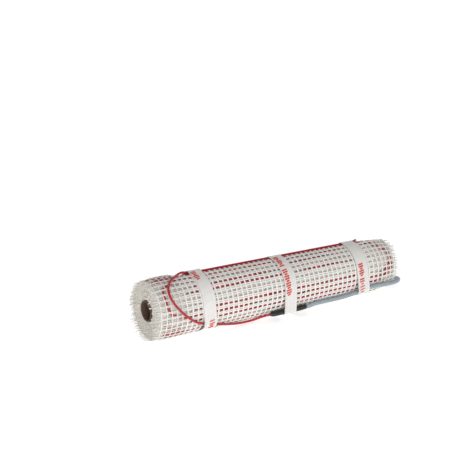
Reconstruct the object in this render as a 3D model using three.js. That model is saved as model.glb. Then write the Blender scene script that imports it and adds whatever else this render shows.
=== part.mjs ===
// Underfloor heating mat, rolled up on its core and held by three tape bands.
// Millimetres, +Z up. The roll lies along X with its lowest line on the floor z = 0.
// The loose heating cable, the joint sleeve and the cold lead are on the -Y side.
import * as THREE from "three";

// Roll of mesh
const MAT_WIDTH = 500;
const ROLL_RADIUS = 51.9;
const ROLL_TAPER = 3.6;
const TURNS = 9;
const TURN_EDGE_SHARE = 0.62;
const TURN_GROOVE_DEPTH = 2.5;
const ROLL_SIDES = 48;

// Outer turn: its free edge lies along the top, and the turn below shows behind it
const FREE_EDGE_TURN = -1.5;
const STEP_DEPTH = 4.4;
const STEP_FACE_SWEEP = 1.6;
const STEP_FADE_SWEEP = 80;

// Ends of the roll, thinner where no cable is wound in
const LEFT_SHOULDER_REACH = 20;
const LEFT_SHOULDER_DROP = 2.5;
const RIGHT_SHOULDER_REACH = 45;
const RIGHT_SHOULDER_DROP = 5.5;

// Cardboard core
const CORE_BORE_RADIUS = 16;
const CORE_WALL = 2.5;
const CORE_RECESS = 1.5;
const CORE_CLEARANCE = 0.3;
const CORE_SIDES = 40;

// Tape bands
const BAND_WIDTH = 25;
const BAND_THICKNESS = 0.5;
const BAND_CLEARANCE = 0.35;
const WAIST_DEPTH = 1.1;
const WAIST_SLOPE = 1.5;
const TAPE_STEP_TURN = 5;
const LEFT_BAND_INSET = 98;
const RIGHT_BAND_INSET = 80;
const MIDDLE_BAND_X = 13;

// Heating cable tail, outside the roll
const CABLE_RADIUS = 2;
const CABLE_CLEARANCE = 0.8;
const CABLE_TOP_TURN = 2;
const CABLE_TOP_DRIFT = 1.9;
const CABLE_LOW_TURN = -121.8;
const CABLE_LOW_DRIFT = 5;
// [turn, lift] where the tail comes out from under the left band and starts to climb over the free edge
const CABLE_CLIMB = [2.4, 0.2];

// Joint between the heating cable and the cold lead
const SLEEVE_RADIUS = 5;
const SLEEVE_NECK_RADIUS = 3.4;
const SLEEVE_NECK_LENGTH = 5;
const SLEEVE_LENGTH = 76;
const SLEEVE_LEAD_SIDE = 36;
const SLEEVE_ENTRY = 6;
const SLEEVE_TURN = -132;
const SLEEVE_CLEARANCE = 0.4;
const SLEEVE_SIDES = 16;

// Cold lead
const LEAD_RADIUS = 4;
const LEAD_CLEARANCE = 0.6;
const LEAD_BAND_TURN = -122;
const LEAD_BAND_DRIFT = 3.5;

// Hank of the lead's unseen length, lying behind the roll
const HANK_INSET = 100;
const HANK_STRAIGHT = 88;
const HANK_INNER_TURN_RADIUS = 24;
const HANK_COLUMNS = 2;
const HANK_LAYERS = 3;
const HANK_ROLL_CLEARANCE = 3;
const TIE_WIDTH = 6;
const TIE_THICKNESS = 0.8;
const TIE_CLEARANCE = 0.3;

// Gap that pieces meeting end to end keep
const TOUCH_GAP = 0.3;

// Where the tail's loop reaches furthest forward, measured from the left band.
const LOOP_OFFSET = -51;

const HALF_WIDTH = MAT_WIDTH / 2;
const BAND_X = {
  left: -HALF_WIDTH + LEFT_BAND_INSET,
  middle: MIDDLE_BAND_X,
  right: HALF_WIDTH - RIGHT_BAND_INSET,
};
const SLEEVE_END_X = MIDDLE_BAND_X + SLEEVE_LEAD_SIDE;
const SLEEVE_START_X = SLEEVE_END_X - SLEEVE_LENGTH;
const CORE_RADIUS = CORE_BORE_RADIUS + CORE_WALL;
const ROLL_BORE_RADIUS = CORE_RADIUS + CORE_CLEARANCE;
const STEP_FOOT_TURN = FREE_EDGE_TURN + STEP_FACE_SWEEP;
const CABLE_LIFT = CABLE_RADIUS + CABLE_CLEARANCE;
const SLEEVE_LIFT = SLEEVE_RADIUS + SLEEVE_CLEARANCE;
const LEAD_LIFT = LEAD_RADIUS + LEAD_CLEARANCE;
const LEAD_DIAMETER = 2 * LEAD_RADIUS;
const HANK_INNER_RADIUS = HANK_INNER_TURN_RADIUS - LEAD_RADIUS;
const HANK_OUTER_RADIUS = HANK_INNER_RADIUS + HANK_COLUMNS * LEAD_DIAMETER;
const HANK_HEIGHT = HANK_LAYERS * LEAD_DIAMETER;
const HANK_X = HALF_WIDTH - HANK_INSET;
const HANK_BASE_Z = TIE_THICKNESS + TIE_CLEARANCE;

const degrees = THREE.MathUtils.degToRad;

// Radius of the roll at x. It is also the height of the roll's axis there.
function radiusAt(x) {
  return ROLL_RADIUS - ROLL_TAPER * (x / MAT_WIDTH);
}

// How far the outside lies below radiusAt behind the free edge, for turns up to a whole one past it.
function stepDepth(turn) {
  const fadeEnd = STEP_FOOT_TURN + STEP_FADE_SWEEP;
  return STEP_DEPTH * (1 - THREE.MathUtils.smoothstep(turn, STEP_FOOT_TURN, fadeEnd));
}

// Point beside the roll: turn is in degrees from the top, negative towards the front.
function rollPoint(x, turn, lift) {
  const reach = radiusAt(x) + lift;
  const angle = degrees(turn);
  return new THREE.Vector3(x, reach * Math.sin(angle), radiusAt(x) + reach * Math.cos(angle));
}

// Lays a shape made round the X axis along the roll's axis, which drops as the roll gets thinner.
function alongRollAxis(geometry) {
  const slope = -ROLL_TAPER / MAT_WIDTH;
  geometry.applyMatrix4(new THREE.Matrix4().makeShear(0, slope, 0, 0, 0, 0));
  geometry.translate(0, 0, radiusAt(0));
  return geometry;
}

// Solid turned round the X axis from a closed profile of [radius, x] points.
function turned(profile, sides) {
  const points = profile.map(([radius, x]) => new THREE.Vector2(radius, x));
  points.push(points[0].clone());
  return new THREE.LatheGeometry(points, sides).rotateZ(-Math.PI / 2);
}

// Outline in the YZ plane pushed along X, from x to x + length.
function extrudedAlongX(shape, x, length) {
  const geometry = new THREE.ExtrudeGeometry(shape, { depth: length, bevelEnabled: false });
  const toX = new THREE.Matrix4().makeBasis(
    new THREE.Vector3(0, 1, 0),
    new THREE.Vector3(0, 0, 1),
    new THREE.Vector3(1, 0, 0),
  );
  return geometry.applyMatrix4(toX).translate(x, 0, 0);
}

// Points on an arc, both ends included.
function arc(centre, radius, from, to, step) {
  const steps = Math.max(1, Math.ceil((to - from) / step));
  const points = [];
  for (let i = 0; i <= steps; i += 1) {
    const angle = THREE.MathUtils.lerp(from, to, i / steps);
    const x = centre.x + radius * Math.cos(angle);
    const y = centre.y + radius * Math.sin(angle);
    points.push(new THREE.Vector2(x, y));
  }
  return points;
}

// Solid tube with closed ends along a route.
function tube(points, radius, sides, steps) {
  const section = new THREE.Shape(arc(new THREE.Vector2(), radius, 0, 2 * Math.PI, 2 * Math.PI / sides));
  const path = new THREE.CatmullRomCurve3(points);
  return new THREE.ExtrudeGeometry(section, { extrudePath: path, steps });
}

// Rings of the winding on one end face, from the outside in.
function turnEdges(outerRadius, faceX, inward) {
  const pitch = (outerRadius - ROLL_BORE_RADIUS) / (TURNS - 1 + TURN_EDGE_SHARE);
  const edge = pitch * TURN_EDGE_SHARE;
  const points = [];
  for (let i = 0; i < TURNS; i += 1) {
    const outside = outerRadius - i * pitch;
    points.push([outside, faceX], [outside - edge, faceX]);
    if (i < TURNS - 1) {
      points.push([outside - (pitch + edge) / 2, faceX + inward * TURN_GROOVE_DEPTH]);
    }
  }
  return points;
}

// The winding gets thinner towards an end.
function shoulder(endX, inward, reach, drop) {
  // [share of the reach, share of the drop]
  const marks = [
    [0.25, 0.65],
    [0.55, 0.25],
    [1, 0],
  ];
  return marks.map(([along, fallen]) => {
    const x = endX + inward * reach * along;
    return [radiusAt(x) - drop * fallen, x];
  });
}

// Draws the sides of a turned solid in behind the free edge, and sets two of them at the step's face.
function stepped(geometry) {
  const position = geometry.attributes.position;
  const perSide = position.count / (ROLL_SIDES + 1);
  const sideSweep = (360 - STEP_FACE_SWEEP) / (ROLL_SIDES - 1);
  for (let i = 0; i < position.count; i += 1) {
    const side = Math.floor(i / perSide);
    const behindEdge = Math.max(0, side - 1) * sideSweep;
    const turn = side === 0 ? STEP_FOOT_TURN : FREE_EDGE_TURN - behindEdge;
    const depth = stepDepth(side === 0 ? turn : turn + 360);
    const radius = Math.hypot(position.getY(i), position.getZ(i));
    const outside = radiusAt(position.getX(i));
    const share = (radius - ROLL_BORE_RADIUS) / (outside - ROLL_BORE_RADIUS);
    position.setY(i, (radius - depth * share) * Math.sin(degrees(turn)));
    position.setZ(i, (radius - depth * share) * Math.cos(degrees(turn)));
  }
  return geometry;
}

// The outside drops by a little where a band pulls it in.
function waist(centre) {
  const reach = BAND_WIDTH / 2 + WAIST_SLOPE;
  const marks = [-reach - WAIST_SLOPE, -reach, reach, reach + WAIST_SLOPE];
  return marks.map((offset, i) => {
    const x = centre + offset;
    const depth = i === 1 || i === 2 ? WAIST_DEPTH : 0;
    return [radiusAt(x) - depth, x];
  });
}

function matRoll() {
  const rightEnd = turnEdges(radiusAt(HALF_WIDTH) - RIGHT_SHOULDER_DROP, HALF_WIDTH, -1);
  const leftEnd = turnEdges(radiusAt(-HALF_WIDTH) - LEFT_SHOULDER_DROP, -HALF_WIDTH, 1).reverse();
  const outside = [
    ...shoulder(-HALF_WIDTH, 1, LEFT_SHOULDER_REACH, LEFT_SHOULDER_DROP),
    ...waist(BAND_X.left),
    ...waist(BAND_X.middle),
    ...waist(BAND_X.right),
    ...shoulder(HALF_WIDTH, -1, RIGHT_SHOULDER_REACH, RIGHT_SHOULDER_DROP).reverse(),
  ];
  return alongRollAxis(stepped(turned([...outside, ...rightEnd, ...leftEnd], ROLL_SIDES)));
}

function coreTube() {
  const half = HALF_WIDTH - CORE_RECESS;
  const profile = [
    [CORE_RADIUS, -half],
    [CORE_RADIUS, half],
    [CORE_BORE_RADIUS, half],
    [CORE_BORE_RADIUS, -half],
  ];
  return alongRollAxis(turned(profile, CORE_SIDES));
}

// Point in the YZ plane at a turn, this far from the roll's axis.
function sectionPoint(turn, reach) {
  return new THREE.Vector2(reach * Math.sin(degrees(turn)), reach * Math.cos(degrees(turn)));
}

// Tightest closed line round the points, anticlockwise.
function hull(points) {
  const sorted = [...points].sort((a, b) => a.x - b.x || a.y - b.y);
  const half = (ordered) => {
    const line = [];
    for (const point of ordered) {
      while (line.length > 1) {
        const back = line.at(-1).clone().sub(line.at(-2));
        if (back.cross(point.clone().sub(line.at(-1))) > 0) {
          break;
        }
        line.pop();
      }
      line.push(point);
    }
    return line.slice(0, -1);
  };
  return [...half(sorted), ...half(sorted.reverse())];
}

// Line of a tape pulled tight round the roll and the round things on it, at a distance from them.
function tapeLine(x, lumps, distance) {
  const points = [];
  for (let turn = STEP_FOOT_TURN; turn <= 360 + FREE_EDGE_TURN; turn += TAPE_STEP_TURN) {
    points.push(sectionPoint(turn, radiusAt(x) - WAIST_DEPTH - stepDepth(turn) + distance));
  }
  for (const { turn, lift, radius } of lumps) {
    const centre = sectionPoint(turn, radiusAt(x) + lift);
    points.push(...arc(centre, radius + distance, 0, 2 * Math.PI, Math.PI / 12));
  }
  return hull(points);
}

function band(x, lumps) {
  const shape = new THREE.Shape(tapeLine(x, lumps, BAND_CLEARANCE + BAND_THICKNESS));
  shape.holes.push(new THREE.Path(tapeLine(x, lumps, BAND_CLEARANCE)));
  return alongRollAxis(extrudedAlongX(shape, x - BAND_WIDTH / 2, BAND_WIDTH));
}

// Height of the tail's middle line over radiusAt where it lies on the turn behind the free edge.
function behindEdgeLift(turn) {
  return CABLE_LIFT - stepDepth(turn);
}

// The last run of the heating cable: behind the free edge along the top, over that edge,
// round in a loop, back to the sleeve. Each stretch gives [x from a band's middle, turn, lift].
function cableTail() {
  const topLift = behindEdgeLift(CABLE_TOP_TURN);
  const nearRightBand = [
    [44, 46, behindEdgeLift(46)],
    [37, 30, behindEdgeLift(30)],
    [27, 13, behindEdgeLift(13)],
    [15, 5, behindEdgeLift(5)],
    [-2, CABLE_TOP_TURN, topLift],
    [-30, CABLE_TOP_TURN, topLift],
    [-70, CABLE_TOP_TURN, topLift],
  ];
  const nearMiddleBand = [
    [40, CABLE_TOP_TURN, topLift],
    [-13, CABLE_TOP_TURN, topLift],
    [-63, CABLE_TOP_TURN, topLift],
  ];
  const overEdge = [
    [52, CABLE_TOP_TURN, topLift],
    [6, CABLE_TOP_TURN, topLift],
    [-8, 2.4, -0.9],
    [-17, 1.7, 1],
    [-25, -1, 2.7],
    [-34, -5.5, CABLE_LIFT],
  ];
  const loop = [
    [-45, -13],
    [-59, -24],
    [-69, -38],
    [-72, -51],
    [-69, -65],
    [-60, -80],
    [-47, -94],
    [-31, -107.5],
    [-15, -116],
    [1, CABLE_LOW_TURN],
    [22, -129],
    [42, -137],
    [62, -144.5],
    [82, -149],
  ].map(([x, turn]) => [x, turn, CABLE_LIFT]);
  const beforeSleeve = [
    [-66, -147, CABLE_LIFT],
    [-54, -139, CABLE_LIFT + 0.3],
  ];
  const near = (bandX, stretch) => stretch.map(([x, turn, lift]) => rollPoint(bandX + x, turn, lift));
  const points = [
    ...near(BAND_X.right, nearRightBand),
    ...near(BAND_X.middle, nearMiddleBand),
    ...near(BAND_X.left, [...overEdge, ...loop]),
    ...near(BAND_X.middle, beforeSleeve),
    rollPoint(SLEEVE_START_X - SLEEVE_ENTRY, SLEEVE_TURN, SLEEVE_LIFT),
    rollPoint(SLEEVE_START_X - TOUCH_GAP, SLEEVE_TURN, SLEEVE_LIFT),
  ];
  return tube(points, CABLE_RADIUS, 8, 78);
}

function jointSleeve() {
  const length = SLEEVE_END_X - SLEEVE_START_X;
  const profile = [
    [0, 0],
    [SLEEVE_NECK_RADIUS, 0],
    [SLEEVE_RADIUS, SLEEVE_NECK_LENGTH],
    [SLEEVE_RADIUS, length - SLEEVE_NECK_LENGTH],
    [LEAD_RADIUS, length],
    [0, length],
  ];
  const points = profile.map(([radius, x]) => new THREE.Vector2(radius, x));
  const start = rollPoint(SLEEVE_START_X, SLEEVE_TURN, SLEEVE_LIFT);
  const end = rollPoint(SLEEVE_END_X, SLEEVE_TURN, SLEEVE_LIFT);
  const geometry = new THREE.LatheGeometry(points, SLEEVE_SIDES);
  const direction = end.clone().sub(start).normalize();
  const toAxis = new THREE.Quaternion().setFromUnitVectors(new THREE.Vector3(0, 1, 0), direction);
  return geometry.applyQuaternion(toAxis).translate(start.x, start.y, start.z);
}

// Middle line of the hank, as far behind the roll's side as its top edge needs.
function hankY() {
  const radius = radiusAt(HANK_X - HANK_STRAIGHT / 2 - HANK_OUTER_RADIUS);
  const top = HANK_BASE_Z + HANK_HEIGHT;
  const rollSide = Math.sqrt(radius ** 2 - (radius - top) ** 2);
  return rollSide + HANK_ROLL_CLEARANCE + HANK_OUTER_RADIUS;
}

// The lead runs along the roll, under the last band, down to the floor and round the right end.
function coldLead() {
  const floorZ = LEAD_RADIUS + 0.05;
  const nearRunY = hankY() - HANK_OUTER_RADIUS + LEAD_RADIUS;
  // [x from the right band's middle, turn]
  const along = [
    [-100, -130],
    [-75, -130],
    [-50, -130],
    [-25, -127.5],
    [0, LEAD_BAND_TURN],
    [15, -118.5],
    [30, -117.3],
  ];
  // [x from the roll's right end, y, z]
  const free = [
    [-34, -48.1, 23.8],
    [-20, -47.2, 22.8],
    [-6, -44, 21.8],
    [6, -38.4, 20.8],
    [15.5, -29.8, 19.6],
    [21, -19, 18],
    [23.5, -6, 15.6],
    [24.5, 8, 12.6],
    [25, 21, 9.2],
    [23, 35, 6],
    [17, 47, floorZ],
    [6.5, 56, floorZ],
    [-6, 59.5, floorZ],
    [-18, nearRunY + 1.5, floorZ + 0.5],
  ];
  const points = [
    rollPoint(SLEEVE_END_X + TOUCH_GAP, SLEEVE_TURN, SLEEVE_LIFT),
    rollPoint(SLEEVE_END_X + SLEEVE_ENTRY, SLEEVE_TURN, SLEEVE_LIFT),
    ...along.map(([x, turn]) => rollPoint(BAND_X.right + x, turn, LEAD_LIFT)),
    ...free.map(([x, y, z]) => new THREE.Vector3(HALF_WIDTH + x, y, z)),
    new THREE.Vector3(leadEndX(), nearRunY, HANK_BASE_Z + LEAD_RADIUS),
  ];
  return tube(points, LEAD_RADIUS, 10, 44);
}

// Where the lead's tube meets the round end of the hank.
function leadEndX() {
  const inside = HANK_OUTER_RADIUS - LEAD_DIAMETER;
  const reach = Math.sqrt(HANK_OUTER_RADIUS ** 2 - inside ** 2);
  return HANK_X + HANK_STRAIGHT / 2 + reach + TOUCH_GAP;
}

// Straight sides with round ends, in the XY plane.
function oblong(radius) {
  const reach = HANK_STRAIGHT / 2;
  const right = arc(new THREE.Vector2(reach, 0), radius, -Math.PI / 2, Math.PI / 2, degrees(15));
  const left = arc(new THREE.Vector2(-reach, 0), radius, Math.PI / 2, 1.5 * Math.PI, degrees(15));
  return [...right, ...left];
}

function leadHank() {
  const shape = new THREE.Shape(oblong(HANK_OUTER_RADIUS));
  shape.holes.push(new THREE.Path(oblong(HANK_INNER_RADIUS)));
  const geometry = new THREE.ExtrudeGeometry(shape, { depth: HANK_HEIGHT, bevelEnabled: false });
  return geometry.translate(HANK_X, hankY(), HANK_BASE_Z);
}

// Rectangle in the YZ plane, anticlockwise.
function rectangle(yLow, yHigh, zLow, zHigh) {
  return [
    new THREE.Vector2(yLow, zLow),
    new THREE.Vector2(yHigh, zLow),
    new THREE.Vector2(yHigh, zHigh),
    new THREE.Vector2(yLow, zHigh),
  ];
}

// Tie round the far side of the hank.
function hankTie() {
  const yLow = hankY() + HANK_INNER_RADIUS - TIE_CLEARANCE;
  const yHigh = hankY() + HANK_OUTER_RADIUS + TIE_CLEARANCE;
  const zLow = HANK_BASE_Z - TIE_CLEARANCE;
  const zHigh = HANK_BASE_Z + HANK_HEIGHT + TIE_CLEARANCE;
  const grow = TIE_THICKNESS;
  const shape = new THREE.Shape(rectangle(yLow - grow, yHigh + grow, zLow - grow, zHigh + grow));
  shape.holes.push(new THREE.Path(rectangle(yLow, yHigh, zLow, zHigh)));
  return extrudedAlongX(shape, HANK_X - TIE_WIDTH / 2, TIE_WIDTH);
}

const LOOKS = {
  mesh: { color: 0xe6e4de, roughness: 0.75, metalness: 0 },
  cardboard: { color: 0x6a5342, roughness: 0.9, metalness: 0 },
  tape: { color: 0xdfdcd6, roughness: 0.45, metalness: 0 },
  redCable: { color: 0xa31525, roughness: 0.4, metalness: 0 },
  sleeve: { color: 0x141415, roughness: 0.45, metalness: 0 },
  lead: { color: 0xa5b2bc, roughness: 0.5, metalness: 0 },
  tie: { color: 0x1c1c1e, roughness: 0.5, metalness: 0 },
};

function piece(name, geometry, look) {
  const mesh = new THREE.Mesh(geometry, new THREE.MeshStandardMaterial(LOOKS[look]));
  mesh.name = name;
  return mesh;
}

const laid = new THREE.Group();
laid.add(piece("core_tube", coreTube(), "cardboard"));
laid.add(piece("mat_roll", matRoll(), "mesh"));
laid.add(piece("heating_cable_tail", cableTail(), "redCable"));
laid.add(piece("joint_sleeve", jointSleeve(), "sleeve"));

// What passes under each band, by its radius and by the [turn, lift] of its middle line there.
const passing = (radius, ...ends) => ends.map(([turn, lift]) => ({ turn, lift, radius }));
const topRun = [CABLE_TOP_TURN, behindEdgeLift(CABLE_TOP_TURN)];
const topRunDrifted = [CABLE_TOP_TURN + CABLE_TOP_DRIFT, behindEdgeLift(CABLE_TOP_TURN + CABLE_TOP_DRIFT)];
const lowRun = [-CABLE_LOW_DRIFT, 0, CABLE_LOW_DRIFT].map((drift) => [CABLE_LOW_TURN + drift, CABLE_LIFT]);
const leadRun = [-LEAD_BAND_DRIFT, LEAD_BAND_DRIFT].map((drift) => [LEAD_BAND_TURN + drift, LEAD_LIFT]);
const bandLumps = {
  left: passing(CABLE_RADIUS, topRun, CABLE_CLIMB, ...lowRun),
  middle: [...passing(CABLE_RADIUS, topRun), ...passing(SLEEVE_RADIUS, [SLEEVE_TURN, SLEEVE_LIFT])],
  right: [...passing(CABLE_RADIUS, topRun, topRunDrifted), ...passing(LEAD_RADIUS, ...leadRun)],
};
for (const [side, x] of Object.entries(BAND_X)) {
  laid.add(piece(`band_${side}`, band(x, bandLumps[side]), "tape"));
}

laid.add(piece("cold_lead", coldLead(), "lead"));
laid.add(piece("cold_lead_hank", leadHank(), "lead"));
laid.add(piece("hank_tie", hankTie(), "tie"));

// The loop reaches further forward than the roll, so the footprint's centre lies off the roll's axis.
const frontReach = radiusAt(BAND_X.left + LOOP_OFFSET) + CABLE_LIFT + CABLE_RADIUS;
const backReach = radiusAt(-HALF_WIDTH + LEFT_SHOULDER_REACH);
laid.position.y = (frontReach - backReach) / 2;

const part = new THREE.Group();
part.add(laid);

export default part;
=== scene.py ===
import math

import bpy
import numpy as np
from mathutils import Matrix, Vector


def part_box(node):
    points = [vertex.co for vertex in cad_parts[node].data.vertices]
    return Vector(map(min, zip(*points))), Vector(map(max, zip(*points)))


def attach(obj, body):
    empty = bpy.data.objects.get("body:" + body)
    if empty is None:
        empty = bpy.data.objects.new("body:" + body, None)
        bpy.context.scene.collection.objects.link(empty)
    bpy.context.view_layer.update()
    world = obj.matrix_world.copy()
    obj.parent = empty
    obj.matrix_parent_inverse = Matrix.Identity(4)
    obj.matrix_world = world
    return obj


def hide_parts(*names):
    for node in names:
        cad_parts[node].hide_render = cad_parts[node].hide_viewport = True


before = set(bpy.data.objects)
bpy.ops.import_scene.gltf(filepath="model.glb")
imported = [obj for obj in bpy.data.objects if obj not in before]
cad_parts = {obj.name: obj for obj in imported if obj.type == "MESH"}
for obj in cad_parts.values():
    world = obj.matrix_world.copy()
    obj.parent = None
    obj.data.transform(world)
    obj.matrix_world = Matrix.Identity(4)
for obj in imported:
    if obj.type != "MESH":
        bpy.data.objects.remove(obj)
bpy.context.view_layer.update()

MM = 0.001
rng = np.random.default_rng(7)

# The roll, from the frame. Its axis drops towards the right end, where it gets thinner.
_, roll_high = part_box("mat_roll")
core_low, core_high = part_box("core_tube")
HALF_WIDTH = roll_high.x
CORE_HALF = core_high.x
CORE_RADIUS = 18.5 * MM
CORE_BORE_RADIUS = 16 * MM
ROLL_Y = (core_low.y + core_high.y) / 2
LEFT_RADIUS = core_high.z - CORE_RADIUS
RIGHT_RADIUS = core_low.z + CORE_RADIUS
LEFT_SHOULDER_REACH, LEFT_SHOULDER_DROP = 20 * MM, 2.5 * MM
RIGHT_SHOULDER_REACH, RIGHT_SHOULDER_DROP = 45 * MM, 5.5 * MM
SHOULDER_CURVE = 1.6

# Mesh: threads round the roll (hoops) and pairs of threads along it (ribs).
# The outer turn's free edge lies along the top, a step above the turn behind it.
PITCH = 10 * MM
RIM_X = 245 * MM
HOOP_WIDTH = 3.7 * MM
HOOP_THICKNESS = 0.7 * MM
RIB_WIDTH = 2.9 * MM
RIB_THICKNESS = 0.6 * MM
RIB_PAIR_GAP = 3.2 * MM
RIB_STEP_TURN = 11.2
RIB_PHASES = [-25.1, -64.3, -58.0]
MESH_LIFT = -0.6 * MM  # of a layer's ribs, from the layer's depth
HOOP_LIFT = MESH_LIFT + 0.15 * MM
WEAVE = 0.22 * MM  # how far a hoop rises over each rib
FREE_EDGE_TURN = -1.5
STEP_DEPTH = 4.4 * MM
STEP_FADE_TURN = 80
EDGE_DROP = 2.7 * MM  # how far the outer layer droops at its free edge
LOOP_BULGE = 3.2 * MM  # how far it rises over the cable loop behind that edge, at the left
CLOSE_LAYER = 2.5 * MM  # from one layer to the next, where they touch
OVER_CABLE = 2.3 * MM  # and this much more where cable lies between them
DEEP_START = 8.5 * MM  # depth of the fourth layer, the first of the deep ones
DEEP_LAYERS = 6
CORE_GAP = 1.2 * MM
PACKED_X = 238 * MM  # beyond it the layers are evenly deep
END_THINNING = 0.42  # share of their width that threads lose near the ends, beyond these places
RIB_FULL_X, LEFT_HOOP_FULL_X, RIGHT_HOOP_FULL_X = 190 * MM, 188 * MM, 208 * MM
ANY_PHASE = 6.28  # random phases lie between 0 and this

# Cables
CABLE = 4.0 * MM
CABLE_LIFT = 2.8 * MM
TOP_LIFT = CABLE_LIFT - STEP_DEPTH
BURIED_LIFT = -3.1 * MM
EDGE_ROW_LIFT = -2.7 * MM  # of the buried row beside the free edge
NEAR_CABLE, CABLE_FADE = 2.5 * MM, 6.5 * MM
LEAD = 8.0 * MM
LEAD_LIFT = 4.6 * MM
LEAD_LENGTH = 2.0
SLEEVE_LIFT = 5.4 * MM
SLEEVE_TURN = -132
SLEEVE_END_X = 49 * MM
SLEEVE_LENGTH = 76 * MM

# Bands
band_x = {}
for side in ("left", "middle", "right"):
    low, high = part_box(f"band_{side}")
    band_x[side] = (low.x + high.x) / 2
BAND_WIDTH = high.x - low.x
BAND_THICKNESS = 0.4 * MM
BAND_GAP = 0.1 * MM
BAND_PULL = 9 * MM  # how far beside a tape the mesh is pulled in
WAIST_DEPTH = 0.75 * MM

# Turns where the loose cable lies on the top and under the left tape, and the lead under the right
TOP_TURN = 2
LOW_TURN = -121.8
LEAD_BAND_TURN = -122


def radius_at(x):
    """Nominal radius of the roll at x, which is also the height of its axis there."""
    share = (np.asarray(x, float) + CORE_HALF) / (2 * CORE_HALF)
    return LEFT_RADIUS + (RIGHT_RADIUS - LEFT_RADIUS) * share


def shoulder_drop(x):
    """How much thinner the winding is near the ends."""
    left = np.clip(1 - (x + HALF_WIDTH) / LEFT_SHOULDER_REACH, 0, 1)
    right = np.clip(1 - (HALF_WIDTH - x) / RIGHT_SHOULDER_REACH, 0, 1)
    return LEFT_SHOULDER_DROP * left**SHOULDER_CURVE + RIGHT_SHOULDER_DROP * right**SHOULDER_CURVE


def step_depth(turn):
    """How far the outside lies lower behind the free edge, for turns from the edge backwards."""
    return STEP_DEPTH * (1 - rise(turn, TOP_TURN, STEP_FADE_TURN))


def roll_points(x, turn, lift):
    """Points beside the roll. turn is in degrees from the top, negative towards the front."""
    x, turn, lift = np.broadcast_arrays(np.asarray(x, float), turn, lift)
    angle = np.radians(turn)
    reach = radius_at(x) + lift
    return np.stack([x, ROLL_Y + reach * np.sin(angle), radius_at(x) + reach * np.cos(angle)], -1)


def outward(turn):
    """Direction away from the roll's axis."""
    angle = np.radians(np.asarray(turn, float))
    return np.stack([np.zeros_like(angle), np.sin(angle), np.cos(angle)], -1)


def rise(value, start, width):
    """0 up to start, 1 from start + width on, smooth between."""
    t = np.clip((value - start) / width, 0, 1)
    return t * t * (3 - 2 * t)


def curve_through(points, step):
    """A Catmull-Rom line through the points, as even points about step apart."""
    points = np.asarray(points, float)
    ends = [2 * points[0] - points[1], *points, 2 * points[-1] - points[-2]]
    line = []
    for a, b, c, d in zip(ends, ends[1:], ends[2:], ends[3:]):
        for t in np.linspace(0, 1, 12, endpoint=False):
            line.append(0.5 * (2 * b + (c - a) * t + (2 * a - 5 * b + 4 * c - d) * t**2
                               + (3 * b - a - 3 * c + d) * t**3))
    line.append(points[-1])
    return evenly(np.array(line), step)


def length_along(line):
    """Length from the line's start to each of its points."""
    return np.concatenate([[0], np.cumsum(np.linalg.norm(np.diff(line, axis=0), axis=1))])


def evenly(line, step):
    """The line with its points spread evenly, about step apart."""
    length = length_along(line)
    count = max(2, round(length[-1] / step) + 1)
    marks = np.linspace(0, length[-1], count)
    return np.stack([np.interp(marks, length, line[:, i]) for i in range(line.shape[1])], -1)


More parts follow.
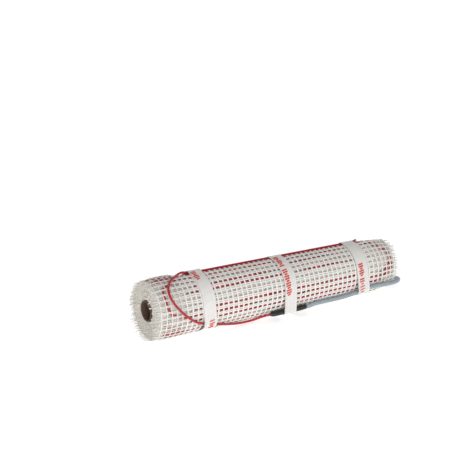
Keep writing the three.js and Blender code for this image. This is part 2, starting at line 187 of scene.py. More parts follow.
class Strands:
    """Gathers flat threads, cables and sheets, and makes one mesh of them."""

    def __init__(self):
        self.points, self.faces, self.uvs, self.count = [], [], [], 0

    def add(self, path, out, width, thickness, sides=6, square=False):
        """A closed strand along path. out is the way its flat side faces."""
        path = np.asarray(path, float)
        n = len(path)
        tangent = np.gradient(path, axis=0)
        tangent /= np.linalg.norm(tangent, axis=1, keepdims=True)
        across = np.cross(np.broadcast_to(out, path.shape), tangent)
        across /= np.linalg.norm(across, axis=1, keepdims=True)
        up = np.cross(tangent, across)
        angle = np.arange(sides) * 2 * math.pi / sides
        shape = np.stack([np.cos(angle), np.sin(angle)], -1)
        if square:
            shape = np.array([[1, -1], [1, 1], [-1, 1], [-1, -1]], float)
        half_width = np.broadcast_to(np.asarray(width, float) / 2, n)[:, None, None]
        half_thick = np.broadcast_to(np.asarray(thickness, float) / 2, n)[:, None, None]
        ring = (path[:, None] + shape[None, :, :1] * half_width * across[:, None]
                + shape[None, :, 1:] * half_thick * up[:, None])
        length = length_along(path) + rng.uniform(0, 3)  # no two strands have the same texture
        sides = len(shape)
        i, j = np.meshgrid(np.arange(n - 1), np.arange(sides), indexing="ij")
        k = (j + 1) % sides
        this, following = i * sides, (i + 1) * sides
        quads = np.stack([this + j, this + k, following + k, following + j], -1)
        v0, v1 = j / sides, (j + 1) / sides
        uv = np.stack([np.stack([length[i], v0], -1), np.stack([length[i], v1], -1),
                       np.stack([length[i + 1], v1], -1), np.stack([length[i + 1], v0], -1)], -2)
        self.faces.append(quads.reshape(-1, 4) + self.count)
        self.uvs.append(uv.reshape(-1, 4, 2))
        for first, flip in ((0, True), ((n - 1) * sides, False)):
            cap = first + np.arange(sides)
            self.faces.append((cap[::-1] if flip else cap)[None] + self.count)
            self.uvs.append(np.zeros((1, sides, 2)))
        self.points.append(ring.reshape(-1, 3))
        self.count += n * sides

    def ring_sheet(self, outer, inner):
        """A thin sheet closed round the roll, from two grids of points, [way round, way across]."""
        n, m = outer.shape[:2]
        i, j = np.meshgrid(np.arange(n), np.arange(m - 1), indexing="ij")
        a, b = i * m + j, ((i + 1) % n) * m + j
        face = np.stack([a, b, b + 1, a + 1], -1).reshape(-1, 4)
        back = face[:, ::-1] + n * m
        edges = []
        rows = np.arange(n)
        for column in (0, m - 1):
            p, q = rows * m + column, ((rows + 1) % n) * m + column
            strip = np.stack([p, q, q + n * m, p + n * m], -1)
            edges.append(strip if column == 0 else strip[:, ::-1])
        faces = np.concatenate([face, back, *edges]) + self.count
        grid_uv = np.stack(np.meshgrid(np.arange(n) / n, np.arange(m) / m, indexing="ij"), -1)
        grid_uv = grid_uv.reshape(-1, 2)
        grid_uv = np.concatenate([grid_uv, grid_uv])
        self.faces.append(faces)
        self.uvs.append(grid_uv[faces - self.count])
        self.points.append(np.concatenate([outer.reshape(-1, 3), inner.reshape(-1, 3)]))
        self.count += 2 * n * m

    def make(self, name, look):
        """One piece of all that was gathered."""
        mesh = bpy.data.meshes.new(name)
        points = np.concatenate(self.points)
        sizes = np.concatenate([np.full(len(f), f.shape[1]) for f in self.faces])
        loops = np.concatenate([f.ravel() for f in self.faces])
        mesh.vertices.add(len(points))
        mesh.vertices.foreach_set("co", points.astype(np.float32).ravel())
        mesh.loops.add(len(loops))
        mesh.loops.foreach_set("vertex_index", loops.astype(np.int32))
        mesh.polygons.add(len(sizes))
        starts = np.concatenate([[0], np.cumsum(sizes)[:-1]])
        mesh.polygons.foreach_set("loop_start", starts.astype(np.int32))
        layer = mesh.uv_layers.new(name="UVMap")
        uv = np.concatenate([u.reshape(-1, 2) for u in self.uvs])
        layer.data.foreach_set("uv", uv.astype(np.float32).ravel())
        mesh.update(calc_edges=True)
        mesh.polygons.foreach_set("use_smooth", np.ones(len(sizes), bool))
        mesh.validate()
        return place(bpy.data.objects.new(name, mesh), look)


def place(piece, look):
    """Puts a piece in the scene, with its material, riding on the one body."""
    bpy.context.scene.collection.objects.link(piece)
    piece.data.materials.append(look)
    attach(piece, "root")
    return piece


# Materials

def node_material(name):
    """A new material, its nodes and links, and its shader."""
    look = bpy.data.materials.new(name)
    look.use_nodes = True
    nodes, links = look.node_tree.nodes, look.node_tree.links
    return look, nodes, links, nodes["Principled BSDF"]


def mapped_noise(nodes, links, source, scale, noise_scale, detail=3):
    """Noise over the given coordinates, stretched by scale."""
    coordinates = nodes.new("ShaderNodeTexCoord")
    mapping = nodes.new("ShaderNodeMapping")
    mapping.inputs["Scale"].default_value = scale
    noise = nodes.new("ShaderNodeTexNoise")
    noise.inputs["Scale"].default_value = noise_scale
    noise.inputs["Detail"].default_value = detail
    links.new(coordinates.outputs[source], mapping.inputs["Vector"])
    links.new(mapping.outputs["Vector"], noise.inputs["Vector"])
    return noise


def colour_between(nodes, links, factor, low, high, start=0.3, end=0.7):
    """Colours from low to high while the factor goes from start to end."""
    ramp = nodes.new("ShaderNodeValToRGB")
    ramp.color_ramp.elements[0].position = start
    ramp.color_ramp.elements[0].color = (*low, 1)
    ramp.color_ramp.elements[1].position = end
    ramp.color_ramp.elements[1].color = (*high, 1)
    links.new(factor, ramp.inputs["Fac"])
    return ramp


def add_bump(nodes, links, shader, height, strength, distance):
    bump = nodes.new("ShaderNodeBump")
    bump.inputs["Strength"].default_value = strength
    bump.inputs["Distance"].default_value = distance
    links.new(height, bump.inputs["Height"])
    links.new(bump.outputs["Normal"], shader.inputs["Normal"])


def glass_fibre(name, low, high):
    """White coated glass thread: streaks along its length, patchy coating."""
    look, nodes, links, shader = node_material(name)
    streaks = mapped_noise(nodes, links, "UV", scale=(60, 14, 1), noise_scale=1.0, detail=4)
    colours = colour_between(nodes, links, streaks.outputs["Fac"], low, high)
    links.new(colours.outputs["Color"], shader.inputs["Base Color"])
    add_bump(nodes, links, shader, streaks.outputs["Fac"], strength=0.5, distance=0.25 * MM)
    shader.inputs["Roughness"].default_value = 0.55
    shader.inputs["Specular IOR Level"].default_value = 0.35
    return look


def plastic(name, low, high, roughness, bump_size, noise_scale=220):
    """Plastic in a colour that wavers between low and high."""
    look, nodes, links, shader = node_material(name)
    noise = mapped_noise(nodes, links, "Object", (1, 1, 1), noise_scale)
    colours = colour_between(nodes, links, noise.outputs["Fac"], low, high)
    links.new(colours.outputs["Color"], shader.inputs["Base Color"])
    add_bump(nodes, links, shader, noise.outputs["Fac"], strength=0.25, distance=bump_size)
    shader.inputs["Roughness"].default_value = roughness
    return look


def tape_film():
    """Thin white film: nearly opaque, with faint lengthwise streaks in its colour, partly the
    film's own and partly painted sheen.
    """
    look, nodes, links, shader = node_material("tape_film")
    streaks = mapped_noise(nodes, links, "UV", scale=(9, 26, 1), noise_scale=1.0, detail=4)
    # the lighter streaks in this colour are partly painted sheen along the film
    colours = colour_between(nodes, links, streaks.outputs["Fac"],
                             (0.73, 0.71, 0.685), (0.85, 0.83, 0.805))
    links.new(colours.outputs["Color"], shader.inputs["Base Color"])
    add_bump(nodes, links, shader, streaks.outputs["Fac"], strength=0.35, distance=0.3 * MM)
    shader.inputs["Roughness"].default_value = 0.38
    shader.inputs["Alpha"].default_value = 0.9
    return look


def wound_card(name, low, high):
    """Cardboard wound from paper strips, with its slanting seams."""
    look, nodes, links, shader = node_material(name)
    grain = mapped_noise(nodes, links, "Object", scale=(40, 220, 220), noise_scale=3.0, detail=5)
    coordinates = nodes.new("ShaderNodeTexCoord")
    mapping = nodes.new("ShaderNodeMapping")
    mapping.inputs["Rotation"].default_value = (0, 0, math.radians(35))
    seams = nodes.new("ShaderNodeTexWave")
    seams.inputs["Scale"].default_value = 9
    seams.inputs["Distortion"].default_value = 0.6
    links.new(coordinates.outputs["UV"], mapping.inputs["Vector"])
    links.new(mapping.outputs["Vector"], seams.inputs["Vector"])
    mix = nodes.new("ShaderNodeMix")
    mix.inputs["Factor"].default_value = 0.18
    links.new(grain.outputs["Fac"], mix.inputs["A"])
    links.new(seams.outputs["Fac"], mix.inputs["B"])
    colours = colour_between(nodes, links, mix.outputs["Result"], low, high)
    links.new(colours.outputs["Color"], shader.inputs["Base Color"])
    add_bump(nodes, links, shader, mix.outputs["Result"], strength=0.5, distance=0.3 * MM)
    shader.inputs["Roughness"].default_value = 0.88
    return look


MESH_LOOK = glass_fibre("glass_fibre_outer", (0.70, 0.675, 0.635), (0.88, 0.86, 0.82))
MESH_DEEP_LOOK = glass_fibre("glass_fibre_inner", (0.70, 0.665, 0.61), (0.85, 0.82, 0.765))
RED_LOOK = plastic("red_sheath", (0.34, 0.006, 0.016), (0.46, 0.014, 0.03), 0.34, 0.06 * MM)
SLEEVE_LOOK = plastic("black_shrink_tube", (0.006, 0.006, 0.007), (0.016, 0.016, 0.018),
                      0.36, 0.15 * MM, noise_scale=160)
LEAD_LOOK = plastic("grey_sheath", (0.26, 0.31, 0.35), (0.32, 0.37, 0.41), 0.42, 0.05 * MM)
TAPE_LOOK = tape_film()
MARK_LOOK = plastic("red_print", (0.62, 0.03, 0.012), (0.70, 0.05, 0.022),
                    0.5, 0.02 * MM, noise_scale=600)
CARD_LOOK = wound_card("wound_cardboard", (0.07, 0.038, 0.024), (0.14, 0.082, 0.052))
TIE_LOOK = plastic("black_strap", (0.01, 0.01, 0.011), (0.022, 0.022, 0.024), 0.45, 0.08 * MM)


# Camera and light

CAMERA_PLACE = Vector((-1.24056, -1.98704 + ROLL_Y, 0.80735))
CAMERA_YAW = math.radians(30.144)
CAMERA_PITCH = math.radians(15.315)
CAMERA_ROLL = math.radians(-2.073)
FOCAL_SHARE = 1376.57 / 450
WORLD_STRENGTH = 0.88
OVERHEAD = (0.5, 0.5, 0.5)
FLOOR_GLOW = 0.52
FLOOR_REACH = 12.0


def make_camera():
    """The photo's camera, from the fit to the roll's outline."""
    ahead = Vector((math.sin(CAMERA_YAW) * math.cos(CAMERA_PITCH),
                    math.cos(CAMERA_YAW) * math.cos(CAMERA_PITCH), -math.sin(CAMERA_PITCH)))
    right = Vector((math.cos(CAMERA_YAW), -math.sin(CAMERA_YAW), 0))
    up = right.cross(ahead)
    tilted_right = right * math.cos(CAMERA_ROLL) + up * math.sin(CAMERA_ROLL)
    tilted_up = up * math.cos(CAMERA_ROLL) - right * math.sin(CAMERA_ROLL)
    data = bpy.data.cameras.new("camera")
    data.sensor_width = 36
    data.lens = FOCAL_SHARE * data.sensor_width
    data.clip_start, data.clip_end = 0.05, 50
    camera = bpy.data.objects.new("camera", data)
    turn = Matrix((tilted_right, tilted_up, -ahead)).transposed().to_4x4()
    camera.matrix_world = Matrix.Translation(CAMERA_PLACE) @ turn
    bpy.context.scene.collection.objects.link(camera)
    bpy.context.scene.camera = camera


def area_light(name, place_at, target, size, power):
    data = bpy.data.lights.new(name, "AREA")
    data.shape = "DISK"
    data.size = size
    data.energy = power
    light = bpy.data.objects.new(name, data)
    light.location = place_at
    aim = Vector(target) - Vector(place_at)
    light.rotation_euler = aim.to_track_quat("-Z", "Y").to_euler()
    bpy.context.scene.collection.objects.link(light)


def make_world():
    """Even white surroundings, a little dimmer overhead."""
    world = bpy.data.worlds.new("studio")
    world.use_nodes = True
    nodes, links = world.node_tree.nodes, world.node_tree.links
    coordinates = nodes.new("ShaderNodeTexCoord")
    split = nodes.new("ShaderNodeSeparateXYZ")
    links.new(coordinates.outputs["Generated"], split.inputs["Vector"])
    ramp = colour_between(nodes, links, split.outputs["Z"], (1, 1, 1), OVERHEAD, start=0.1, end=0.9)
    links.new(ramp.outputs["Color"], nodes["Background"].inputs["Color"])
    nodes["Background"].inputs["Strength"].default_value = WORLD_STRENGTH
    bpy.context.scene.world = world


def make_studio():
    """World, one soft light, and a pale floor that glows a little so that it stays white."""
    bpy.context.scene.view_settings.view_transform = "Standard"
    make_world()
    area_light("key", place_at=(-0.75, -1.7, 0.32), target=(0, 0, 0.04), size=0.6, power=10)
    mesh = bpy.data.meshes.new("floor")
    corners = [(-1, -1, 0), (1, -1, 0), (1, 1, 0), (-1, 1, 0)]
    mesh.from_pydata([Vector(corner) * FLOOR_REACH for corner in corners], [], [(0, 1, 2, 3)])
    floor = bpy.data.objects.new("floor", mesh)
    bpy.context.scene.collection.objects.link(floor)
    look, nodes, links, shader = node_material("floor_paper")
    grain = mapped_noise(nodes, links, "Object", scale=(1, 1, 1), noise_scale=3.0, detail=2)
    colours = colour_between(nodes, links, grain.outputs["Fac"],
                             (0.90, 0.90, 0.90), (0.92, 0.92, 0.92))
    links.new(colours.outputs["Color"], shader.inputs["Base Color"])
    shader.inputs["Roughness"].default_value = 0.95
    shader.inputs["Specular IOR Level"].default_value = 0.1
    shader.inputs["Emission Color"].default_value = (1, 1, 1, 1)
    shader.inputs["Emission Strength"].default_value = FLOOR_GLOW
    mesh.materials.append(look)


# Cold lead: along the roll, round its right end, into the hank behind it

def lead_route():
    """The lead's line up to the hank, as in the solid model: out of the sleeve, along the roll
    as [x from the right band, turn], free as [x from the roll's right end, y, z] in mm."""
    along = [
        (-100, -130), (-75, -130), (-50, -130), (-25, -127.5), (0, LEAD_BAND_TURN),
        (15, -118.5), (30, -117.3),
    ]
    floor_z = 4.05
    near_run_y = hank_middle.y - HANK_OUTER_TURN - ROLL_Y
    free = [
        (-34, -48.1, 23.8), (-20, -47.2, 22.8), (-6, -44, 21.8), (6, -38.4, 20.8),
        (15.5, -29.8, 19.6), (21, -19, 18), (23.5, -6, 15.6), (24.5, 8, 12.6), (25, 21, 9.2),
        (23, 35, 6), (17, 47, floor_z), (6.5, 56, floor_z), (-6, 59.5, floor_z),
        (-18, near_run_y / MM + 1.5, floor_z + 0.5),
    ]
    points = [roll_points(SLEEVE_END_X + x * MM, SLEEVE_TURN, SLEEVE_LIFT) for x in (0.3, 6)]
    points += [roll_points(band_x["right"] + x * MM, turn, LEAD_LIFT) for x, turn in along]
    points += [np.array([HALF_WIDTH + x * MM, ROLL_Y + y * MM, z * MM]) for x, y, z in free]
    points.append(np.array([hank_middle.x + HANK_REACH, ROLL_Y + near_run_y, HANK_FIRST_Z]))
    return curve_through(points, 3 * MM)


hank_low, hank_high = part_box("cold_lead_hank")
hank_middle = (hank_low + hank_high) / 2
HANK_OUTER_TURN = (hank_high.y - hank_low.y) / 2 - LEAD / 2
HANK_INNER_TURN = HANK_OUTER_TURN - LEAD
HANK_REACH = (hank_high.x - hank_low.x) / 2 - HANK_OUTER_TURN - LEAD / 2
HANK_FIRST_Z = hank_low.z + LEAD / 2


def hank_turn(near, far, after, level, next_level):
    """One turn of the hank: near run to -X, fold, far run to +X, fold.
    near, far and after (the next near run) are distances from the middle line."""
    x, y = hank_middle.x, hank_middle.y
    points = [(x + HANK_REACH, y - near), (x - HANK_REACH, y - near)]
    for angle in np.linspace(-90, -270, 25)[1:]:
        a = math.radians(angle)
        points.append((x - HANK_REACH + (near + far) / 2 * math.cos(a),
                       y + (far - near) / 2 + (near + far) / 2 * math.sin(a)))
    points.append((x + HANK_REACH, y + far))
    for angle in np.linspace(90, -90, 25)[1:]:
        a = math.radians(angle)
        points.append((x + HANK_REACH + (far + after) / 2 * math.cos(a),
                       y + (far - after) / 2 + (far + after) / 2 * math.sin(a)))
    line = evenly(np.array(points), 3 * MM)
    climb = rise(np.linspace(0, 1, len(line)), 0.55, 0.3)
    height = HANK_FIRST_Z + LEAD * (level + (next_level - level) * climb)
    return np.column_stack([line, height])[:-1]


def make_lead():
    """The whole lead at its real length, and its line."""
    outer, inner = HANK_OUTER_TURN, HANK_INNER_TURN
    turns = [
        hank_turn(outer, outer, outer, 0, 1),
        hank_turn(outer, outer, outer, 1, 2),
        hank_turn(outer, inner, inner, 2, 1),
        hank_turn(inner, inner, inner, 1, 0),
        hank_turn(inner, inner, inner, 0, 0),
    ]
    line = np.concatenate([lead_route()[:-1], *turns])
    length = length_along(line)
    last = [np.interp(LEAD_LENGTH, length, line[:, i]) for i in range(3)]
    line = np.vstack([line[length < LEAD_LENGTH], last])
    data = bpy.data.curves.new("cold_lead_cable", "CURVE")
    data.dimensions = "3D"
    data.bevel_depth = LEAD / 2
    data.bevel_resolution = 4
    data.use_fill_caps = True
    spline = data.splines.new("POLY")
    spline.points.add(len(line) - 1)
    spline.points.foreach_set("co", np.column_stack([line, np.ones(len(line))]).ravel())
    lead = place(bpy.data.objects.new("cold_lead_cable", data), LEAD_LOOK)
    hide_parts("cold_lead", "cold_lead_hank")
    return lead, line


def make_core_ends(line):
    """Three stripped conductors that stand out of the lead's end."""
    end, ahead = line[-1], line[-1] - line[-3]
    ahead = ahead / np.linalg.norm(ahead)
    side = np.cross(ahead, (0, 0, 1))
    looks = {
        "brown": plastic("core_brown", (0.12, 0.04, 0.015), (0.15, 0.05, 0.02), 0.4, 0.02 * MM),
        "blue": plastic("core_blue", (0.02, 0.06, 0.3), (0.03, 0.08, 0.36), 0.4, 0.02 * MM),
        "earth": plastic("core_earth", (0.2, 0.35, 0.03), (0.5, 0.42, 0.03), 0.4, 0.02 * MM),
    }
    thickness = 2.4 * MM
    spread = 0.03
    pieces = []
    for i, (name, look) in enumerate(looks.items()):
        aim = math.radians(90 + 120 * i)
        offset = (side * math.cos(aim) + np.array([0, 0, 1]) * math.sin(aim)) * 1.5 * MM
        path = [end + offset + ahead * t * MM + offset * spread * t
                for t in np.linspace(-2, 26, 12)]
        strands = Strands()
        strands.add(path, (0, 0, 1) + 0.2 * side, thickness, thickness, 10)
        pieces.append(strands.make(f"lead_core_{name}", look))
    return pieces


def make_tie():
    """Strap round the far side of the hank, with a small buckle."""
    low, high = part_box("hank_tie")
    middle = (np.array(low) + np.array(high)) / 2
    half_thick = 0.4 * MM
    y = [low.y + half_thick, high.y - half_thick]
    z = [low.z + half_thick, high.z - half_thick]
    bend = 2.5 * MM
    corners = [(y[1], z[0], -90), (y[1], z[1], 0), (y[0], z[1], 90), (y[0], z[0], 180)]
    path = []
    for cy, cz, start in corners:
        inward_y = bend if cy == y[0] else -bend
        inward_z = bend if cz == z[0] else -bend
        for angle in np.linspace(start, start + 90, 7):
            a = math.radians(angle)
            path.append((middle[0], cy + inward_y + bend * math.cos(a),
                         cz + inward_z + bend * math.sin(a)))
    path.append(path[0])
    path = evenly(np.array(path), 1.5 * MM)
    strands = Strands()
    strands.add(path, path - middle, high.x - low.x, 2 * half_thick, square=True)
    buckle = [(middle[0] + x * MM, middle[1] - 2 * MM, high.z - 0.2 * MM) for x in (-4, -2, 2, 4)]
    widths, heights = np.array([5, 6, 6, 5]) * MM, np.array([1.6, 2.4, 2.4, 1.6]) * MM
    strands.add(buckle, (0, 0, 1), widths, heights, 8)
    tie = strands.make("hank_strap", TIE_LOOK)
    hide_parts("hank_tie")
    return tie


# Mesh layers

# Cable rows inside the roll, by the layer of mesh that they lie under. Points are [x in mm, turn].
CABLE_ROWS = {
    0: [
        [(-236, -6), (-200, -7), (-105, -6.5), (-74, -6.5), (-46, -7.5), (-10, -9), (40, -8),
         (87, -7), (130, -6.5), (165, -7), (187, -6.5), (201, -11), (210, -17), (218, -24),
         (226, -33), (233, -43), (237.5, -54), (238.5, -65), (234, -76), (227, -85), (217, -93),
         (204, -97), (186, -98.5), (146, -97), (104, -98), (67, -99.5), (30, -102), (-2, -103.5),
         (-31, -103.5), (-64, -101), (-95, -99), (-135, -98), (-186, -99), (-206, -96),
         (-222, -89), (-229, -78), (-231, -66), (-232, -54), (-231, -42), (-225, -31),
         (-212, -24), (-186, -18), (-119, -17.3), (-38, -17.6), (0, -18.5), (60, -20), (120, -19),
         (175, -17.5)],
        [(-170, -41), (-130, -40.6), (-88, -40.6), (-47, -40.2), (-20, -37), (20, -33), (80, -31),
         (140, -33)],
        [(-188, -54), (-138, -52.5), (-98, -52.4), (-56, -52.5), (-7, -53.7), (31, -47.5),
         (65, -51), (104, -50.6), (151, -49), (186, -50)],
        [(-186, -84), (-135, -86.8), (-95, -86.4), (-54, -87), (-5, -89), (36, -88), (56, -87),
         (87, -86.5), (116, -86.5), (153, -87.5), (185, -88)],
        [(-186, -112), (-132, -111), (-103, -110.6), (-71, -110.8), (-40, -111.5), (-10, -112.5),
         (34, -112), (56, -111), (75, -110.6), (129, -110.4), (180, -110)],
        [(-236, -133), (-200, -134), (-150, -134), (-106, -133.8), (-76, -133.6), (-45, -133),
         (-24, -130.5), (-6, -126), (36, -122.5), (61, -122.3), (125, -122.3), (155, -121.5),
         (175, -118.5), (192, -113.5), (203, -111), (214, -106), (228, -97), (238, -88),
         (241, -77)],
        [(-228, -154), (-160, -153), (-80, -152), (0, -151), (120, -150), (222, -150)],
        [(150, 12), (60, 12), (-60, 12), (-140, 12), (-190, 12), (-215, 13), (-231, 18),
         (-238, 27), (-240, 38), (-237, 49), (-226, 58), (-205, 62), (-120, 62), (0, 62),
         (120, 62), (200, 62), (219, 65), (229, 72), (232, 80), (229, 88), (219, 95), (200, 98),
         (100, 98), (0, 98), (-100, 98), (-200, 98), (-219, 101), (-229, 108), (-232, 116),
         (-229, 124), (-219, 131), (-200, 134), (-80, 134), (80, 134), (200, 134), (219, 137),
         (229, 144), (232, 152), (229, 160), (219, 167), (200, 170), (80, 170), (-210, 170)],
    ],
    1: [
        [(-140, -121), (-183, -121), (-200, -120), (-216, -122), (-230, -118), (-236, -109),
         (-230, -102)],
        [(-185, -70), (-165, -69), (-140, -70)],
    ],
}


def row_line(row):
    """Even points of a cable row, as [x, way round] in metres on the opened-out roll."""
    row = np.asarray(row, float)
    way = np.radians(row[:, 1]) * LEFT_RADIUS
    return curve_through(np.column_stack([row[:, 0] * MM, way]), 3 * MM)


CABLE_LINES = {layer: [row_line(row) for row in rows] for layer, rows in CABLE_ROWS.items()}
TAIL_LINE = row_line([(-186, TOP_TURN), (0, TOP_TURN), (186, TOP_TURN)])
NEAR_LINES = {0: np.concatenate([*CABLE_LINES[0], TAIL_LINE]), 1: np.concatenate(CABLE_LINES[1])}


def near_cable(x, turn, layer):
    """1 over a cable row under this layer of mesh, 0 away from it."""
    lines = NEAR_LINES[layer]
    around = 2 * math.pi * LEFT_RADIUS
    way = (np.radians(turn) * LEFT_RADIUS)[..., None] - lines[:, 1]
    way = (way + around / 2) % around - around / 2
    gap = np.sqrt(np.min((x[..., None] - lines[:, 0]) ** 2 + way**2, axis=-1))
    return 1 - rise(gap, NEAR_CABLE, CABLE_FADE)


def behind_top(turn):
    """The same turn, above zero where it lies behind the top."""
    return np.where(turn < -180, turn + 360, turn)


def outer_depth(x, turn):
    """Depth of the outermost layer. It bulges over a cable loop at the top of the left end,
    and droops at its free edge."""
    back = behind_top(turn)
    bulge = rise(-x, 178 * MM, 22 * MM) * rise(back, -2, 5) * (1 - rise(back, 20, 45))
    near_edge = np.where(turn > -20, rise(turn, -6.5, 5), 0)
    droop = EDGE_DROP * near_edge * rise(x, -195 * MM, 15 * MM)
    return shoulder_drop(x) - LOOP_BULGE * bulge + droop


def base_depth(x, turn, layer):
    """Depth of a layer under the roll's nominal radius, away from where it slips under the next."""
    x, turn = np.broadcast_arrays(np.asarray(x, float), np.asarray(turn, float))
    outer = outer_depth(x, turn)
    if layer == 0:
        return outer
    total = radius_at(x) - CORE_RADIUS - CORE_GAP - outer
    back = behind_top(turn)
    loose_top = rise(back, -12, 10) * (1 - rise(back, 20, 50)) * rise(x, -200 * MM, 25 * MM)
    loose_left = rise(-x, 25 * MM, 30 * MM) * rise(back, -50, 12) * (1 - rise(back, -30, 15))
    loose = np.maximum(loose_top, loose_left)
    first = CLOSE_LAYER + OVER_CABLE * np.maximum(near_cable(x, turn, 0), loose)
    if layer == 1:
        close = first
    elif layer == 2:
        close = first + CLOSE_LAYER + OVER_CABLE * near_cable(x, turn, 1)
    else:
        close = DEEP_START + (layer - 3) * (total - DEEP_START) / DEEP_LAYERS
    even = layer * total / (DEEP_LAYERS + 3)
    return outer + close + (even - close) * rise(np.abs(x), PACKED_X, 10 * MM)


def layer_depth(x, turn, layer):
    """Depth of a layer that runs in a spiral. turn goes down by 360 from the free edge's,
    and over the last part of that the layer sinks to where the next one starts."""
    share = (FREE_EDGE_TURN - np.asarray(turn, float)) / 360
    here = base_depth(x, turn, layer)
    below = base_depth(x, turn, layer + 1)
    start = 1 - STEP_FADE_TURN / 360
    return here + (below - here) * rise(share, start, 1 - start)


def end_thinning(x, reach):
    """Threads look narrower near the ends, where the mesh isn't pressed by the tape."""
    return 1 - END_THINNING * rise(np.abs(x), reach, 20 * MM)


def hoop(strands, x, layer, samples, sides, thickness=HOOP_THICKNESS, sway=0.4 * MM):
    """One thread round the roll, for one turn of the winding. It passes over every rib."""
    width = HOOP_WIDTH * float(end_thinning(x, LEFT_HOOP_FULL_X if x < 0 else RIGHT_HOOP_FULL_X))
    turn = FREE_EDGE_TURN - 360 * np.linspace(0, 1, samples)
    angle = np.radians(turn)
    phase = rng.uniform(0, ANY_PHASE)
    xs = x + sway * (np.sin(angle * 3 + phase) + 0.5 * np.sin(angle * 7 + 2 * phase))
    ribs_past = (turn - RIB_PHASES[min(layer, 2)]) / RIB_STEP_TURN
    over = WEAVE * np.cos(np.radians(ribs_past * 360))
    lift = HOOP_LIFT + over - layer_depth(xs, turn, layer) - band_pinch(xs, layer)
    strands.add(roll_points(xs, turn, lift), outward(turn), width, thickness, sides)


def band_pinch(x, layer):
    """How far a tape pulls the outermost layer in, at it and close beside it."""
    if layer > 0:
        return 0 * x
    away = np.min([np.abs(x - middle) for middle in band_x.values()], axis=0) - BAND_WIDTH / 2
    return WAIST_DEPTH * (1 - rise(away, 0, BAND_PULL))


def rib_turns(layer):
    """Turns of one layer's ribs. A deeper layer is smaller and has fewer, equally far apart."""
    radius = float(radius_at(0)) - float(base_depth(0.0, -60.0, layer))
    step = RIB_STEP_TURN * float(radius_at(0)) / radius
    phase = RIB_PHASES[layer] if layer < len(RIB_PHASES) else RIB_PHASES[-1] - 3.7 * layer
    first = phase + math.floor((FREE_EDGE_TURN - 4 - phase) / step) * step
    return [first - i * step for i in range(int(358 / step))]


def rib(strands, turn, layer, start_x, end_x, step, sides, cut_start=True, cut_end=True):
    """Two threads side by side along the roll. Their cut ends stand out past the last hoop,
    spread and bent, and swell before they taper."""
    half_gap = math.degrees(RIB_PAIR_GAP / 2 / float(radius_at(0)))
    phase = rng.uniform(0, ANY_PHASE)
    for side in (-1, 1):
        low = start_x + (rng.uniform(-2, 2) * MM if cut_start else 0)
        high = end_x + (rng.uniform(-2, 2) * MM if cut_end else 0)
        xs = np.append(np.arange(low, high, step), high)
        thinning = end_thinning(xs, RIB_FULL_X)
        past = np.maximum(np.abs(xs) - RIM_X, 0) / (12 * MM)
        apart = side * half_gap * (thinning + 1.1 * np.minimum(1, past))
        sway = 0.35 * np.sin(xs * 45 + phase) + 0.25 * np.sin(xs * 110 + 2 * phase) + apart
        turns = turn + sway + rng.uniform(-2.0, 2.0) * past**1.5
        flare = rng.uniform(-1.3, 0.9) * MM * past
        lift = MESH_LIFT - layer_depth(xs, turns, layer) - band_pinch(xs, layer) + flare
        width = RIB_WIDTH * thinning * rng.uniform(0.94, 1.06)
        thickness = np.full(len(xs), RIB_THICKNESS)
        for cut, end in ((cut_start, low), (cut_end, high)):
            if cut:
                gone = np.clip(1 - np.abs(xs - end) / (7 * MM), 0, 1)
                width = width * (1 - 0.3 * gone**1.5)
                thickness = thickness * (1 + 1.2 * np.minimum(1, 3 * gone) * (1 - 0.6 * gone))
        strands.add(roll_points(xs, turns, lift), outward(turns), width, thickness, sides)


def tip_x():
    """How far a cut thread end reaches."""
    return HALF_WIDTH + rng.uniform(1.0, 6.5) * MM


def hoop_places():
    """Where the hoops lie, a pitch apart."""
    return np.arange(-RIM_X, RIM_X + PITCH / 2, PITCH)


def make_outer_mesh():
    """The outermost turn."""
    hoops = Strands()
    for x in hoop_places():
        hoop(hoops, x, 0, samples=150, sides=6, sway=0.25 * MM)
    outer = hoops.make("mat_mesh_hoops", MESH_LOOK)
    ribs = Strands()
    for turn in rib_turns(0):
        rib(ribs, turn, 0, -tip_x(), tip_x(), step=5 * MM, sides=6)
    ribs.make("mat_mesh_ribs", MESH_LOOK)
    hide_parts("mat_roll")


def make_inner_mesh():
    """The two turns that show through its holes."""
    for layer, samples in ((1, 120), (2, 90)):
        strands = Strands()
        for x in hoop_places():
            hoop(strands, x, layer, samples, sides=5)
        for turn in rib_turns(layer):
            rib(strands, turn, layer, -tip_x(), tip_x(), step=12 * MM, sides=5)
        strands.make(f"mat_mesh_layer_{layer + 1}", MESH_DEEP_LOOK)


def make_wound_ends():
    """The deeper turns show only at the two ends."""
    for sign, name in ((-1, "left"), (1, "right")):
        strands = Strands()
        for layer in range(3, DEEP_LAYERS + 3):
            for i in range(4):
                x = sign * (RIM_X - i * PITCH + rng.uniform(-1.5, 1.5) * MM)
                hoop(strands, x, layer, samples=60, sides=5, thickness=1.0 * MM)
            for turn in rib_turns(layer):
                ends = sorted([sign * 203 * MM, sign * (HALF_WIDTH + rng.uniform(-3, 4) * MM)])
                rib(strands, turn, layer, *ends, step=6 * MM, sides=5,
                    cut_start=sign < 0, cut_end=sign > 0)
        strands.make(f"mat_wound_end_{name}", MESH_DEEP_LOOK)


